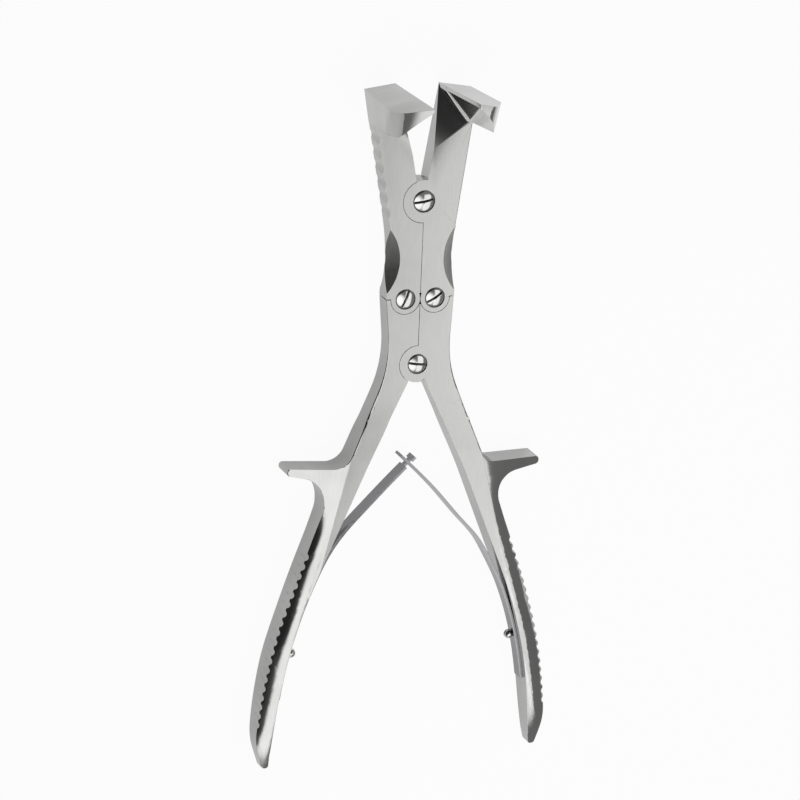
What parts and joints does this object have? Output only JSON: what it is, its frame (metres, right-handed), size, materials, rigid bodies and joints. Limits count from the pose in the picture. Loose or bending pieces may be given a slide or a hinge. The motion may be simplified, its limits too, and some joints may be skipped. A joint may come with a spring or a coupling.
{
  "type": "bone cutting forceps",
  "caption": "Double-action bone cutting forceps with forward-standing angled blades, linked jaws, finger rests and two leaf springs between the handles.",
  "frame": {"origin": "bottom centre of the bounding box, below the middle of the tool as it lies on its back", "axes": "+X towards the tool's right side seen from its front, +Y from the handles towards the jaws, +Z out of the front, the way the blades stand"},
  "size_m": [0.122, 0.2779, 0.0469],
  "materials": {
    "jaw_steel": "satin flats with polished bevels",
    "handle_steel": "satin flats, polished crowns",
    "screw_steel": "polished",
    "spring_steel": "polished"
  },
  "bodies": {
    "left_handle": {"left_handle": "handle_steel", "handle_pivot_screw": "screw_steel", "left_link_screw": "screw_steel", "left_spring_screw": "screw_steel"},
    "right_handle": {"right_handle": "handle_steel", "right_link_screw": "screw_steel", "right_spring_screw": "screw_steel"},
    "left_jaw": {"left_jaw": "jaw_steel", "jaw_pivot_screw": "screw_steel"},
    "right_jaw": {"right_jaw": "jaw_steel"},
    "left_spring": {"left_spring": "spring_steel"},
    "right_spring": {"right_spring": "spring_steel"}
  },
  "joints": [
    {"name": "handle_pivot", "type": "hinge", "parent": "left_handle", "child": "right_handle", "pos_m": [0.00088, 0.02535, 0.00648], "axis": [0, 0, -1], "range_deg": [0, 33.1], "stiffness_Nm_per_rad": 1.5, "springref_deg": -8.59},
    {"name": "left_link", "type": "hinge", "parent": "left_handle", "child": "left_jaw", "pos_m": [-0.00522, 0.0521, 0.00648], "axis": [0, 0, -1], "range_deg": [0, 27.7]},
    {"name": "right_link", "type": "hinge", "parent": "right_handle", "child": "right_jaw", "pos_m": [0.00698, 0.0521, 0.00648], "axis": [0, 0, 1], "range_deg": [0, 27.7]},
    {"name": "left_spring_bend", "type": "hinge", "parent": "left_handle", "child": "left_spring", "pos_m": [-0.04818, -0.09162, 0.00648], "axis": [0, 0, 1], "range_deg": [0, 9.3], "deforming": ["left_spring"]},
    {"name": "right_spring_bend", "type": "hinge", "parent": "right_handle", "child": "right_spring", "pos_m": [0.04804, -0.09161, 0.00648], "axis": [0, 0, -1], "range_deg": [0, 6.7], "deforming": ["right_spring"]}
  ],
  "couplings": [
    {"joint": "left_link", "follows": "handle_pivot", "ratio": 0.834},
    {"joint": "right_link", "follows": "handle_pivot", "ratio": 0.834},
    {"joint": "left_spring_bend", "follows": "handle_pivot", "ratio": 0.278},
    {"joint": "right_spring_bend", "follows": "handle_pivot", "ratio": 0.2}
  ]
}
